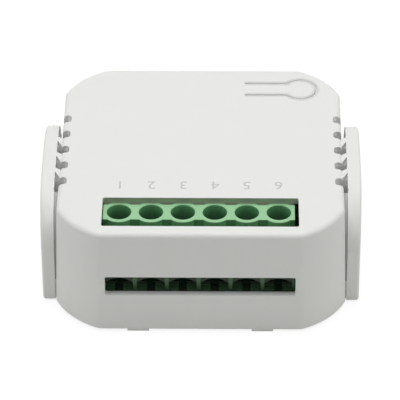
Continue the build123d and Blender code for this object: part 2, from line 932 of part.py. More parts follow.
# Filter choke: ferrite drum and its winding
def make_inductor():
    low = board_top
    high = board_top + inductor_height
    with BuildPart() as drum:
        with Locations((inductor_x, inductor_y)):
            upright(inductor_radius, low, low + inductor_flange)
            upright(inductor_waist_radius, low, high)
            upright(inductor_radius, high - inductor_flange, high)
        leads(inductor_pins, low + inductor_flange / 2)
    save(drum, "inductor_core")
    with BuildPart() as winding:
        with Locations((inductor_x, inductor_y)):
            upright(inductor_winding_radius, low + inductor_flange, high - inductor_flange)
            upright(inductor_waist_radius, low, high, mode=Mode.SUBTRACT)
    save(winding, "inductor_winding")


# Surge protector, a coated disc on two leads
def make_varistor():
    disc_z = board_top + varistor_lift + varistor_radius
    with BuildPart() as disc:
        with BuildSketch(Plane.XZ.offset(-(varistor_y - varistor_thickness / 2))):
            with Locations((relay_x, disc_z)):
                Circle(varistor_radius)
        extrude(amount=-varistor_thickness)
        fillet(disc.edges(), varistor_edge_radius)
        leads(varistor_pins, disc_z)
    save(disc, "varistor")


# Fusible resistor lying on the board
def make_fuse():
    axis_z = board_top + fuse_radius
    with BuildPart() as body:
        with BuildSketch(Plane.XZ.offset(-fuse_y)):
            with BuildLine():
                half_length = fuse_length / 2
                neck = half_length - fuse_cap_length
                Polyline(
                    (inductor_x - half_length, axis_z),
                    (inductor_x + half_length, axis_z),
                    (inductor_x + half_length, axis_z + fuse_radius),
                    (inductor_x + neck, axis_z + fuse_radius),
                    (inductor_x + neck, axis_z + fuse_waist_radius),
                    (inductor_x - neck, axis_z + fuse_waist_radius),
                    (inductor_x - neck, axis_z + fuse_radius),
                    (inductor_x - half_length, axis_z + fuse_radius),
                    close=True,
                )
            make_face()
        revolve(axis=Axis((inductor_x, fuse_y, axis_z), (1, 0, 0)))
        with Locations((inductor_x, fuse_y, axis_z)):
            Cylinder(
                pin_radius, fuse_length + fuse_lead_length, rotation=(0, 90, 0),
            )
        leads(fuse_pins, axis_z)
    save(body, "fuse_resistor")


# Bridge rectifier with four gull legs
def make_rectifier():
    with BuildPart() as body:
        with Locations((inductor_x, rectifier_y)):
            block(rectifier_width, rectifier_depth, board_top, board_top + rectifier_height)
        fillet(body.faces().sort_by(Axis.Z)[-1].edges(), rectifier_leg_thickness)
        leg_row = rectifier_width + rectifier_leg_length
        with Locations((inductor_x, rectifier_y)):
            with GridLocations(leg_row, rectifier_depth - 2 * rectifier_leg_width, 2, 2):
                block(
                    rectifier_leg_length, rectifier_leg_width, board_top,
                    board_top + rectifier_leg_thickness,
                )
    save(body, "bridge_rectifier")


# Radio board and its shield can
def make_radio():
    with BuildPart() as card:
        with Locations((radio_x, radio_y)):
            block(radio_width, radio_depth, board_top, board_top + radio_thickness)
            with GridLocations(radio_width, castellation_pitch, 2, castellation_count):
                upright(pin_radius, board_top, board_top + radio_thickness, mode=Mode.SUBTRACT)
    save(card, "radio_board")
    shield_floor = board_top + radio_thickness
    shield_width = radio_width - 2 * shield_side_margin
    shield_depth = radio_depth - shield_front_margin - shield_back_margin
    shield_y = radio_front + shield_front_margin + shield_depth / 2
    with BuildPart() as can:
        with Locations((radio_x, shield_y)):
            block(shield_width, shield_depth, shield_floor, shield_floor + shield_height)
        fillet(can.edges().filter_by(Axis.Z), shield_corner_radius)
        fillet(can.faces().sort_by(Axis.Z)[-1].edges(), shield_wall * 3 / 2)
        with Locations((radio_x, shield_y)):
            block(
                shield_width - 2 * shield_wall, shield_depth - 2 * shield_wall,
                shield_floor - overrun, shield_floor + shield_height - shield_wall,
                mode=Mode.SUBTRACT,
            )
    save(can, "radio_shield")


# Status lamp beside the switch and the small parts of the supply
def make_small_parts():
    with BuildPart() as lamp:
        with Locations((lamp_x, key_line + led_width)):
            block(led_width, led_depth, board_top, board_top + led_height / 2)
            upright(led_lens_radius, board_top, board_top + led_height)
    save(lamp, "status_led")
    with BuildPart() as driver:
        with Locations((driver_chip_x, driver_chip_y)):
            block(driver_chip_width, driver_chip_depth, board_top, board_top + driver_chip_height)
        chamfer(driver.faces().sort_by(Axis.Z)[-1].edges(), rectifier_leg_thickness)
    save(driver, "driver_chip")
    with BuildPart() as chips:
        chip_x = inductor_x + rectifier_width / 2 + part_gap + rectifier_leg_length + chip_width / 2
        with Locations((chip_x, radio_y - radio_depth / 4)):
            with GridLocations(0, chip_depth + chip_row_gap, 1, chip_row_count):
                block(chip_width, chip_depth, board_top, board_top + chip_height)
    save(chips, "small_chips")


os.makedirs("parts", exist_ok=True)
make_top_shell()
make_bottom_cover()
make_reset_key()
make_switch()
make_terminal_block()
for number, x in enumerate(way_places, start=1):
    make_terminal_cage(number, x)
    make_clamp_plate(number, x)
    make_terminal_screw(number, x)
make_main_board()
make_relay_housing()
make_relay_coil()
make_relay_contacts()
for number, x in enumerate(capacitor_places, start=1):
    make_capacitor(number, x, capacitor_pins[number - 1])
make_inductor()
make_varistor()
make_fuse()
make_rectifier()
make_radio()
make_small_parts()
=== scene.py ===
import math

import bmesh
import bpy
from mathutils import Matrix, Vector


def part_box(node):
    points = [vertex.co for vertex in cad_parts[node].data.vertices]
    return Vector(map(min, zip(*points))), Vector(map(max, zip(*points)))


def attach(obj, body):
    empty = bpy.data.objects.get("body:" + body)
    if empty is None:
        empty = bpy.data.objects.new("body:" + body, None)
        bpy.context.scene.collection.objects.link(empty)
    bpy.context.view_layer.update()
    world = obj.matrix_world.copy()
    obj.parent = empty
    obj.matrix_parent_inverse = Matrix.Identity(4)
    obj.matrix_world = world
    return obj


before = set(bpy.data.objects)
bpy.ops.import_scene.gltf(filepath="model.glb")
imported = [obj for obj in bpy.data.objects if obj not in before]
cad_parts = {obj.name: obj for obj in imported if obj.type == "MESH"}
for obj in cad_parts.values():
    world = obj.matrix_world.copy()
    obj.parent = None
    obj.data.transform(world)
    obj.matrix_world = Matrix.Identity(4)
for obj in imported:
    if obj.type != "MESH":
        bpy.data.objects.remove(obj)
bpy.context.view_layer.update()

# Lengths are in millimetres and angles in degrees, but for the floor and the lamps
MM = 0.001
ROW_COUNT = 6

# Camera, as found from the windows, the screw holes and the case edges in the photograph
CAMERA_YAW = -0.8439
CAMERA_ELEVATION = 37.0676
CAMERA_ROLL = -0.2611
CAMERA_DISTANCE = 485.08
CAMERA_TARGET = (-0.2884, 0.0, 8.5581)
CAMERA_LENS = 269.06
CAMERA_CLIP_END = 10000.0
SENSOR_WIDTH = 36.0

# Noise of every material
DRIFT_SIZE = 6.0
SMEAR_SIZE = 1.5
SPECK_RANGE = (0.55, 0.8)
SPECK_SHARE = 0.35

# Sizes in the patterns of the inner pieces
BRUSH_LINE = 0.5
WIRE_PITCH = 0.16
BOARD_PATCH = 3.1
BOARD_PATCH_EDGE = (0.45, 0.5)
BOARD_TRACK_FIELD = 8
BOARD_WEAVE = 0.4
SLEEVE_BAND = (16.0, 17.0)
SLEEVE_BAND_SOFT = 0.1
SLEEVE_BAND_COLOUR = (0.62, 0.62, 0.63)

# Painted shade with a painted green reflection of the terminal block on the cut edges of the lid
# window, and the lip along its rear edge
WINDOW_FRONT = -20.4
WINDOW_BACK = -12.9
WINDOW_SIDE = 0.55
WINDOW_SIDE_SOFT = 0.15
WINDOW_SOFT = 0.05
WINDOW_SHADE_DEPTH = 1.0
WINDOW_EDGE = 0.12
WINDOW_SHADE_COLOUR = (0.38, 0.43, 0.33)
LIP_TOP_GAP = 0.02
LIP_FRONT = 0.38
LIP_OVERLAP = 0.1
LIP_THICKNESS = 0.5

# Painted light: a near-white colour that lightens the shaded walls of the cooling slots and the
# gaps beside the ears
CASE_LID_HALF = 22.35
EAR_INNER = 23.25
SLOT_INNER = 21.0
SLOT_REACH = 15.4
SLOT_LOW = 2.0
SLOT_TOP_GAP = 0.5
SLOT_SOFT = 0.1
PAINTED_LIGHT_COLOUR = (0.97, 0.975, 0.965)

# Shaded tops of the webs that cross those gaps
WEB_DROP = 0.7
WEB_EDGE = 0.14
WEB_SOFT = 0.02
WEB_FACING_UP = (0.3, 0.6)
WEB_COLOUR = (0.36, 0.365, 0.355)

# Press tongue and the groove round it
KEY_STEM_HALF = 1.64
KEY_HEAD_RADIUS = 2.67
KEY_BLEND_RADIUS = 1.2
KEY_REACH = 9.05
GROOVE_HALF = 0.2
GROOVE_DEPTH = 1.2
GROOVE_TOP_GAP = 0.08
GROOVE_MARGIN = 0.6
GROOVE_SOFT_LEVEL = 0.02
GROOVE_SOFT_SIDE = 0.05
GROOVE_LEDGE_DEPTH = 0.3
GROOVE_LEDGE_THICKNESS = 0.4
GROOVE_LEDGE_OVERLAP = 0.05
GROOVE_LEDGE_GAP = 0.07
GROOVE_STEPS = 16
# Painted shade on the lid along both sides of the groove
GROOVE_SHADE_INNER = 0.3
GROOVE_SHADE_OUTER = 0.75
GROOVE_SHADE_ROOT = 0.3
GROOVE_SHADE_LEVEL = (0.03, 0.01)
GROOVE_SHADE_COLOUR = (0.67, 0.675, 0.655)

# Painted shade down the terminal block in darker greens: where each begins, where it is full, and
# its colour
TERMINAL_SHADE_GREENS = (
    (17.66, 17.5, (0.12, 0.35, 0.15)),
    (17.2, 13.6, (0.08, 0.23, 0.105)),
    (12.5, 10.5, (0.068, 0.145, 0.074)),
)

# Painted shade in the wire entries on the front of the block: each pair runs from full to none.
# Places are measured from a point this many ways to the left of the row, so that none is negative
FAR_WAYS = 10
ENTRY_HALF_WIDTH = (2.1, 2.25)
ENTRY_ARCH_LEVEL = (8.1, 7.9)
ENTRY_ARCH_SLOPE = 0.75
ENTRY_CORE_HALF_WIDTH = (0.6, 0.7)
ENTRY_DEPTH = (1.4, 1.6)
ENTRY_TOP = (11.0, 11.5)
ENTRY_SHADE_COLOUR = (0.012, 0.032, 0.014)

# Colour rings of the fusible resistor: place from its middle, and colour
RESISTOR_RINGS = (
    (-2.0, (0.55, 0.28, 0.03)),
    (-0.8, (0.02, 0.02, 0.02)),
    (0.4, (0.5, 0.02, 0.02)),
    (2.0, (0.6, 0.42, 0.1)),
)
RING_HALF_WIDTH = (0.25, 0.3)

# Slightly rounded edges of the moulded pieces
EDGE_WIDTHS = {"top_shell": 0.12, "reset_key": 0.13, "terminal_block": 0.07}
EDGE_SEGMENTS = 2
EDGE_ANGLE = 40
WELD_DISTANCE = 0.001
TRIM_EDGE_WIDTH = 0.05

# Plain numbers behind the terminals
NUMBER_HEIGHT = 2.0
NUMBER_HEIGHT_SHARE = 0.7
NUMBER_LINE = -9.6
NUMBER_CURVE_STEPS = 4
INK_THICKNESS = 0.012

# Slanted tops of the bars between the lid's edge and the ears
BAR_PLACES = (1.9, -2.3, -6.5)
BAR_ROOT = 2.2
BAR_TIP = 1.0
BAR_SKEW = 1.25
BAR_DROP = 0.22
BAR_THICKNESS = 0.6

# Plastic between the ears and the case, below the rounded front corner of the ears, coloured
# darker as painted shade of the gap
EAR_DROP = 0.3
EAR_CORNER = 8.5
EAR_FRONT = -15.5
JOINT_DEPTH = 0.75
JOINT_LOW = 4.0
JOINT_BACK = -9.6
JOINT_ARC = 70
JOINT_STEPS = 12
JOINT_TOP_RISE = 0.05

# Light levels, and the floor and lamps in metres and watts
SKY_LEVEL = 0.23
FLOOR_SIZE = 3.0
FLOOR_COLOUR = (0.76, 0.77, 0.75, 1)
FLOOR_SHADE_SHARE = 0.3
FLOOR_GLOW = 1.2
LAMP_AIM = (0, 0, 0.01)
LAMPS = (
    ("top_lamp", 2.8, 0.5, (0, 0.05, 0.6)),
    ("left_lamp", 0.55, 0.4, (-0.6, -0.15, 0.2)),
    ("right_lamp", 0.55, 0.4, (0.6, -0.15, 0.2)),
)


def show(thing):
    """Put an object into the scene."""
    bpy.context.scene.collection.objects.link(thing)


def make_camera():
    """Camera at the photograph's viewing angle, with its long lens."""
    yaw, rise, roll = (math.radians(a) for a in (CAMERA_YAW, CAMERA_ELEVATION, CAMERA_ROLL))
    forward = Vector(
        (math.sin(yaw) * math.cos(rise), math.cos(yaw) * math.cos(rise), -math.sin(rise))
    )
    right = Vector((math.cos(yaw), -math.sin(yaw), 0))
    up = right.cross(forward)
    tilted_right = math.cos(roll) * right + math.sin(roll) * up
    tilted_up = -math.sin(roll) * right + math.cos(roll) * up
    data = bpy.data.cameras.new("camera")
    data.lens = CAMERA_LENS
    data.sensor_width = SENSOR_WIDTH
    data.clip_end = CAMERA_CLIP_END * MM
    camera = bpy.data.objects.new("camera", data)
    show(camera)
    turn = Matrix((tilted_right, tilted_up, -forward)).transposed()
    place = Vector(CAMERA_TARGET) * MM - forward * CAMERA_DISTANCE * MM
    camera.matrix_world = Matrix.Translation(place) @ turn.to_4x4()
    bpy.context.scene.camera = camera


class Nodes:
    """Short way to add and link the nodes of one tree."""

    def __init__(self, tree):
        self.tree = tree

    def add(self, kind, **values):
        """New node with some of its settings or inputs."""
        node = self.tree.nodes.new(kind)
        for name, value in values.items():
            if hasattr(node, name) and name not in node.inputs:
                setattr(node, name, value)
            else:
                node.inputs[name].default_value = value
        return node

    def link(self, source, target):
        """Connect an output to an input."""
        self.tree.links.new(source, target)

    def blend(self, factor, first, second):
        """Colour between two, by a grey factor."""
        mix = self.tree.nodes.new("ShaderNodeMix")
        mix.data_type = "RGBA"
        self.link(factor, mix.inputs[0])
        for socket, value in ((mix.inputs[6], first), (mix.inputs[7], second)):
            if isinstance(value, tuple):
                socket.default_value = (*value, 1.0)
            else:
                self.link(value, socket)
        return mix.outputs[2]

    def spread(self, source, low, high, from_low=0.3, from_high=0.7):
        """A grey value mapped from one range to another."""
        span = self.add("ShaderNodeMapRange")
        span.inputs["From Min"].default_value = from_low
        span.inputs["From Max"].default_value = from_high
        span.inputs["To Min"].default_value = low
        span.inputs["To Max"].default_value = high
        self.link(source, span.inputs["Value"])
        return span.outputs["Result"]

    def ramp(self, source, none_at, full_at):
        """0 at one length in millimetres and 1 at another, level past both."""
        return self.spread(source, 0.0, 1.0, none_at * MM, full_at * MM)

    def within(self, source, low, high, soft):
        """1 between two lengths in millimetres, running softly to 0 outside them."""
        return self.product(
            self.ramp(source, low - soft, low), self.ramp(source, high + soft, high)
        )

    def combine(self, operation, first, second=0.0):
        """Two values joined by one operation, or one value changed by it."""
        node = self.add("ShaderNodeMath", operation=operation)
        for socket, value in zip(node.inputs, (first, second)):
            if isinstance(value, (int, float)):
                socket.default_value = value
            else:
                self.link(value, socket)
        return node.outputs[0]

    def product(self, first, *others):
        """Several values multiplied."""
        for value in others:
            first = self.combine("MULTIPLY", first, value)
        return first

    def split(self, vector):
        """The three parts of a vector."""
        parts = self.add("ShaderNodeSeparateXYZ")
        self.link(vector, parts.inputs[0])
        return tuple(parts.outputs)


def shade(colour, change):
    """A colour made lighter or darker by a share."""
    return tuple(min(1.0, c * (1 + change)) for c in colour)


def surface(
    name, colour, roughness, metallic=0.0, grain=0.25, grain_height=0.004, mottle=0.03,
    coat=0.0, specular=0.5, roughness_swing=0.08, pattern=None,
):
    """Material with fine grain, slow colour drift and uneven gloss."""
    material = bpy.data.materials.new(name)
    material.use_nodes = True
    nodes = Nodes(material.node_tree)
    shader = material.node_tree.nodes["Principled BSDF"]
    shader.inputs["Metallic"].default_value = metallic
    shader.inputs["Specular IOR Level"].default_value = specular
    shader.inputs["Coat Weight"].default_value = coat
    place = nodes.add("ShaderNodeTexCoord").outputs["Object"]

    drift = nodes.add("ShaderNodeTexNoise", Scale=1 / (DRIFT_SIZE * MM), Detail=3.0)
    fine = nodes.add("ShaderNodeTexNoise", Scale=1 / (grain * MM), Detail=2.0)
    smear = nodes.add("ShaderNodeTexNoise", Scale=1 / (SMEAR_SIZE * MM), Detail=4.0)
    for texture in (drift, fine, smear):
        nodes.link(place, texture.inputs["Vector"])

    tone = nodes.blend(drift.outputs["Fac"], shade(colour, -mottle), shade(colour, mottle))
    speck = nodes.spread(fine.outputs["Fac"], 0.0, 1.0, *SPECK_RANGE)
    speck = nodes.spread(speck, 0.0, SPECK_SHARE, 0.0, 1.0)
    tone = nodes.blend(speck, tone, shade(colour, -2 * mottle))
    height = fine.outputs["Fac"]
    if pattern:
        tone, height = pattern(nodes, place, tone, height)
    nodes.link(tone, shader.inputs["Base Color"])
    gloss = nodes.spread(
        smear.outputs["Fac"], roughness - roughness_swing, roughness + roughness_swing
    )
    nodes.link(gloss, shader.inputs["Roughness"])
    bump = nodes.add("ShaderNodeBump", Strength=1.0, Distance=grain_height * MM)
    nodes.link(height, bump.inputs["Height"])
    nodes.link(bump.outputs["Normal"], shader.inputs["Normal"])
    return material


def wound_wire(pitch, dark):
    """Pattern of round wires lying side by side up a coil, with painted shade in the creases
    between the turns.
    """
    def pattern(nodes, place, tone, height):
        turns = nodes.add("ShaderNodeTexWave", bands_direction="Z", wave_profile="SIN")
        turns.inputs["Scale"].default_value = 1 / (pitch * MM) / math.tau
        turns.inputs["Distortion"].default_value = 0.4
        nodes.link(place, turns.inputs["Vector"])
        return nodes.blend(turns.outputs["Fac"], dark, tone), turns.outputs["Fac"]
    return pattern


def board_tracks(track, mask):
    """Pattern of copper tracks under the solder mask of a circuit board."""
    def pattern(nodes, place, tone, height):
        cells = nodes.add("ShaderNodeTexVoronoi", distance="CHEBYCHEV")
        cells.inputs["Scale"].default_value = 1 / (BOARD_PATCH * MM)
        cells.inputs["Randomness"].default_value = 0.75
        nodes.link(place, cells.inputs["Vector"])
        channels = nodes.add("ShaderNodeSeparateColor")
        nodes.link(cells.outputs["Color"], channels.inputs[0])
        poured = nodes.spread(channels.outputs[0], 0.0, 1.0, *BOARD_PATCH_EDGE)
        lines = nodes.add("ShaderNodeTexBrick", Scale=1 / (BOARD_TRACK_FIELD * MM))
        lines.inputs["Mortar Size"].default_value = 0.02
        lines.inputs["Mortar Smooth"].default_value = 0.1
        lines.inputs["Brick Width"].default_value = 1.1
        lines.inputs["Row Height"].default_value = 0.16
        nodes.link(place, lines.inputs["Vector"])
        copper = nodes.combine("MAXIMUM", poured, lines.outputs["Fac"])
        weave = nodes.add("ShaderNodeTexNoise", Scale=1 / (BOARD_WEAVE * MM), Detail=2.0)
        nodes.link(place, weave.inputs["Vector"])
        tone = nodes.blend(copper, tone, track)
        return nodes.blend(nodes.spread(weave.outputs["Fac"], 0.0, 0.25), tone, mask), copper
    return pattern


def level_band(low, high, soft, band):
    """Pattern of one band of colour between two heights above the base."""
    def pattern(nodes, place, tone, height):
        z = nodes.split(place)[2]
        return nodes.blend(nodes.within(z, low, high, soft), tone, band), height
    return pattern


def brushed(stretch):
    """Pattern of fine drawn lines in sheet metal."""
    def pattern(nodes, place, tone, height):
        drawn = nodes.add("ShaderNodeMapping")
        drawn.inputs["Scale"].default_value = stretch
        nodes.link(place, drawn.inputs["Vector"])
        lines = nodes.add("ShaderNodeTexNoise", Scale=1 / (BRUSH_LINE * MM), Detail=3.0)
        nodes.link(drawn.outputs["Vector"], lines.inputs["Vector"])
        factor = nodes.spread(lines.outputs["Fac"], 0.0, 0.4)
        return nodes.blend(factor, tone, (0.0, 0.0, 0.0)), lines.outputs["Fac"]
    return pattern


def resistor_rings(middle):
    """Pattern of colour rings round the lying fusible resistor."""
    def pattern(nodes, place, tone, height):
        x = nodes.split(place)[0]
        full_at, none_at = RING_HALF_WIDTH
        for offset, colour in RESISTOR_RINGS:
            away = nodes.combine("ABSOLUTE", nodes.combine("SUBTRACT", x, middle + offset * MM))
            tone = nodes.blend(nodes.ramp(away, none_at, full_at), tone, colour)
        return tone, height
    return pattern


def terminal_greens(block_front, way_x, way_pitch):
    """Pattern of painted shade: a green that darkens down the block, and near-black painted shade
    in the wire entries on its front.
    """
    def fade(nodes, value, limits):
        full_at, none_at = limits
        return nodes.ramp(value, none_at, full_at)

    def pattern(nodes, place, tone, height):
        x, y, z = nodes.split(place)
        for none_at, full_at, colour in TERMINAL_SHADE_GREENS:
            tone = nodes.blend(nodes.ramp(z, none_at, full_at), tone, colour)
        # Distance from the middle of the nearest way, and the level seen along the entry
        from_row = nodes.combine("SUBTRACT", x, way_x - FAR_WAYS * way_pitch)
        away = nodes.combine("PINGPONG", from_row, way_pitch / 2)
        depth = nodes.combine("SUBTRACT", y, block_front)
        level = nodes.combine("ADD", z, nodes.product(depth, ENTRY_ARCH_SLOPE))
        arch = nodes.product(
            fade(nodes, away, ENTRY_HALF_WIDTH), fade(nodes, level, ENTRY_ARCH_LEVEL)
        )
        core = fade(nodes, away, ENTRY_CORE_HALF_WIDTH)
        near = nodes.product(fade(nodes, depth, ENTRY_DEPTH), fade(nodes, z, ENTRY_TOP))
        # Painted shade in the wire entries
        dark = nodes.product(nodes.combine("MAXIMUM", arch, core), near)
        return nodes.blend(dark, tone, ENTRY_SHADE_COLOUR), height
    return pattern


def window_edges(nodes, place, block_box, lid_top):
    """1 on the cut edges of the lid window, where the painted shade and painted green reflection
    go.
    """
    x, y, z = place
    low, high = (corner / MM for corner in block_box)
    half = (high.x - low.x) / 2 + WINDOW_SIDE + abs(low.x + high.x) / 2
    return nodes.product(
        nodes.within(x, -half, half, WINDOW_SIDE_SOFT),
        nodes.within(y, WINDOW_FRONT, WINDOW_BACK, WINDOW_SOFT),
        nodes.within(z, high.z - WINDOW_SHADE_DEPTH, lid_top - WINDOW_EDGE, WINDOW_SOFT),
    )


def slot_walls(nodes, place, lid_top):
    """1 on the walls of the cooling slots and of the gaps beside the ears, where the painted
    light goes.
    """
    x, y, z = place
    away = nodes.combine("ABSOLUTE", x)
    return nodes.product(
        nodes.ramp(away, SLOT_INNER, SLOT_INNER + SLOT_SOFT),
        nodes.within(y, -SLOT_REACH, SLOT_REACH, SLOT_SOFT),
        nodes.within(z, SLOT_LOW, lid_top - SLOT_TOP_GAP, SLOT_SOFT),
        nodes.ramp(away, EAR_INNER + SLOT_SOFT, EAR_INNER),
    )


def web_tops(nodes, place, walls, lid_top):
    """1 on the upward faces of the webs between the case and the ears."""
    away = nodes.combine("ABSOLUTE", place[0])
    top = lid_top - WEB_DROP
    facing = nodes.split(nodes.add("ShaderNodeTexCoord").outputs["Normal"])[2]
    return nodes.product(
        walls,
        nodes.ramp(away, CASE_LID_HALF - SLOT_SOFT, CASE_LID_HALF),
        nodes.within(place[2], top - WEB_EDGE, top + WEB_SOFT, WEB_SOFT / 2),
        nodes.spread(facing, 0.0, 1.0, *WEB_FACING_UP),
    )


def groove_walls(nodes, place, key_box, lid_top):
    """1 on the walls of the groove round the press tongue, where the painted light goes."""
    x, y, z = place
    low, high = (corner / MM for corner in key_box)
    bottom, top = lid_top - GROOVE_DEPTH, lid_top - GROOVE_TOP_GAP
    margin = GROOVE_MARGIN
    return nodes.product(
        nodes.within(z, bottom, top, GROOVE_SOFT_LEVEL),
        nodes.within(x, low.x - margin, high.x + margin, GROOVE_SOFT_SIDE),
        nodes.within(y, low.y - margin, high.y + margin, GROOVE_SOFT_SIDE),
    )


def groove_edges(nodes, place, key_box, lid_top):
    """1 on the lid close beside the groove round the press tongue, fading away from it, where the
    painted shade goes.
    """
    x, y, z = place
    low, high = (corner / MM for corner in key_box)
    radius = (high.y - low.y) / 2
    along = nodes.combine("SUBTRACT", x, (high.x - radius) * MM)
    across = nodes.combine("SUBTRACT", y, (low.y + radius) * MM)
    squares = nodes.combine(
        "ADD", nodes.product(along, along), nodes.product(across, across)
    )
    head = nodes.combine(
        "SUBTRACT", nodes.combine("SQRT", squares), (radius + GROOVE_HALF) * MM
    )
    stem = nodes.combine("SUBTRACT", nodes.combine("ABSOLUTE", across), KEY_STEM_HALF * MM)
    line = nodes.combine("MINIMUM", nodes.combine("MAXIMUM", stem, along), head)
    root = GROOVE_SHADE_ROOT
    none_at, full_at = GROOVE_SHADE_LEVEL
    return nodes.product(
        nodes.ramp(nodes.combine("ABSOLUTE", line), GROOVE_SHADE_OUTER, GROOVE_SHADE_INNER),
        nodes.ramp(x, low.x - root, low.x + root),
        nodes.ramp(z, lid_top - none_at, lid_top - full_at),
    )


def case_tints(block_box, key_box, lid_top):
    """Pattern of painted shade and painted light in the case's window edges, slots, ear gaps and
    tongue groove.
    """
    def pattern(nodes, place, tone, height):
        place = nodes.split(place)
        walls = slot_walls(nodes, place, lid_top)
        for factor, colour in (
            (window_edges(nodes, place, block_box, lid_top), WINDOW_SHADE_COLOUR),
            (walls, PAINTED_LIGHT_COLOUR),
            (web_tops(nodes, place, walls, lid_top), WEB_COLOUR),
            (groove_walls(nodes, place, key_box, lid_top), PAINTED_LIGHT_COLOUR),
            (groove_edges(nodes, place, key_box, lid_top), GROOVE_SHADE_COLOUR),
        ):
            tone = nodes.blend(factor, tone, colour)
        return tone, height
    return pattern


def middle_x(name):
    """Middle of a node along X."""
    low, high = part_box(name)
    return (low.x + high.x) / 2


def make_materials():
    """One material for each finish of the object."""
    block_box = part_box("terminal_block")
    lid_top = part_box("top_shell")[1].z / MM
    way_x = middle_x("terminal_screw_1")
    way_pitch = middle_x("terminal_screw_2") - way_x
    return {
        "case": surface(
            "case_plastic", (0.815, 0.82, 0.795), 0.52, grain=0.22, grain_height=0.006,
            mottle=0.012, specular=0.35,
            pattern=case_tints(block_box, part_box("reset_key"), lid_top),
        ),
        "green": surface(
            "terminal_green", (0.325, 0.60, 0.335), 0.46, grain=0.35, grain_height=0.004,
            mottle=0.04, specular=0.4,
            pattern=terminal_greens(block_box[0].y, way_x, way_pitch),
        ),
        "zinc": surface(
            "dark_zinc", (0.10, 0.10, 0.095), 0.52, metallic=0.8, grain=0.3, mottle=0.1,
            pattern=brushed((1.0, 5.0, 1.0)),
        ),
        "steel": surface(
            "plated_steel", (0.40, 0.41, 0.41), 0.36, metallic=0.9, grain=0.3,
            grain_height=0.003, pattern=brushed((1.0, 6.0, 1.0)),
        ),
        "brass": surface(
            "tinned_brass", (0.72, 0.68, 0.56), 0.34, metallic=1.0, grain=0.3, mottle=0.06,
            pattern=brushed((4.0, 1.0, 1.0)),
        ),
        "board": surface(
            "circuit_board", (0.02, 0.12, 0.045), 0.35, grain=0.3, coat=0.4, mottle=0.08,
            pattern=board_tracks((0.032, 0.17, 0.065), (0.012, 0.09, 0.035)),
        ),
        "black": surface("relay_black", (0.022, 0.022, 0.025), 0.38, grain=0.3, mottle=0.1),
        "copper": surface(
            "copper_wire", (0.55, 0.20, 0.07), 0.28, metallic=0.9, grain=0.2,
            grain_height=0.05, pattern=wound_wire(WIRE_PITCH, (0.12, 0.03, 0.01)),
        ),
        "iron": surface(
            "soft_iron", (0.46, 0.46, 0.47), 0.42, metallic=1.0, grain=0.2, mottle=0.05,
            pattern=brushed((1.0, 1.0, 5.0)),
        ),
        "ferrite": surface(
            "ferrite", (0.045, 0.045, 0.048), 0.62, grain=0.15, grain_height=0.015,
            mottle=0.15,
        ),
        "sleeve": surface(
            "capacitor_sleeve", (0.03, 0.04, 0.085), 0.30, grain=0.5, mottle=0.06,
            pattern=level_band(*SLEEVE_BAND, SLEEVE_BAND_SOFT, SLEEVE_BAND_COLOUR),
        ),
        "disc": surface(
            "disc_coating", (0.02, 0.07, 0.32), 0.33, grain=0.6, mottle=0.1, coat=0.3
        ),
        "lacquer": surface(
            "resistor_coating", (0.30, 0.45, 0.34), 0.4, grain=0.3, mottle=0.05,
            pattern=resistor_rings(middle_x("fuse_resistor")),
        ),
        "chip": surface(
            "chip_black", (0.018, 0.018, 0.02), 0.55, grain=0.18, grain_height=0.008,
            mottle=0.12,
        ),
        "shield": surface(
            "shield_metal", (0.70, 0.70, 0.68), 0.36, metallic=1.0, grain=0.3,
            pattern=brushed((6.0, 1.0, 1.0)),
        ),
        "lamp": surface(
            "lamp_lens", (0.78, 0.84, 0.76), 0.18, grain=0.4, mottle=0.03, coat=0.5
        ),
        # Painted shade: a darker copy of the case plastic for the ledge in the tongue groove
        "groove": surface("shaded_groove_plastic", (0.62, 0.625, 0.61), 0.6, grain=0.2, mottle=0.02),
        # Painted shade: a darker copy of the case plastic for the joints in the gaps beside the
        # ears
        "joint": surface("shaded_joint_plastic", (0.44, 0.445, 0.43), 0.6, grain=0.2, mottle=0.02),
        "lip": surface("lip_green", (0.17, 0.24, 0.15), 0.6, grain=0.2, mottle=0.06),
        "ink": surface("grey_ink", (0.56, 0.56, 0.55), 0.6, grain=0.15, mottle=0.05),
    }


# Nodes of each finish; a star stands for the numbers of a row
FINISHES = {
    "case": ["top_shell", "bottom_cover", "reset_key"],
    "green": ["terminal_block"],
    "zinc": ["terminal_cage_*", "clamp_plate_*"],
    "steel": ["terminal_screw_*"],
    "brass": ["relay_coil_pins", "relay_contact_blade", "relay_fixed_contact"],
    "board": ["main_board", "radio_board"],
    "black": ["relay_base", "relay_cover", "relay_bobbin", "switch_plunger"],
    "copper": ["relay_winding", "inductor_winding"],
    "iron": ["relay_core", "relay_yoke", "relay_armature"],
    "ferrite": ["inductor_core"],
    "sleeve": ["capacitor_1", "capacitor_2"],
    "disc": ["varistor"],
    "lacquer": ["fuse_resistor"],
    "chip": ["bridge_rectifier", "driver_chip", "small_chips", "switch_body"],
    "shield": ["radio_shield"],
    "lamp": ["status_led"],
}


def node_names(pattern):
    """A node's name, or the names of a row of like nodes."""
    if pattern.endswith("*"):
        return [pattern[:-1] + str(number) for number in range(1, ROW_COUNT + 1)]
    return [pattern]


def dress_nodes(materials):
    """Every CAD node gets its finish, and moulded pieces get slightly rounded edges."""
    for finish, patterns in FINISHES.items():
        for pattern in patterns:
            for name in node_names(pattern):
                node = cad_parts[name]
                node.data.materials.clear()
                node.data.materials.append(materials[finish])
    for name, width in EDGE_WIDTHS.items():
        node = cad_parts[name]
        weld = node.modifiers.new("weld", "WELD")
        weld.merge_threshold = WELD_DISTANCE * MM
        edge = node.modifiers.new("edge", "BEVEL")
        edge.width = width * MM
        edge.segments = EDGE_SEGMENTS
        edge.limit_method = "ANGLE"
        edge.angle_limit = math.radians(EDGE_ANGLE)
        edge.use_clamp_overlap = True
        edge.harden_normals = True


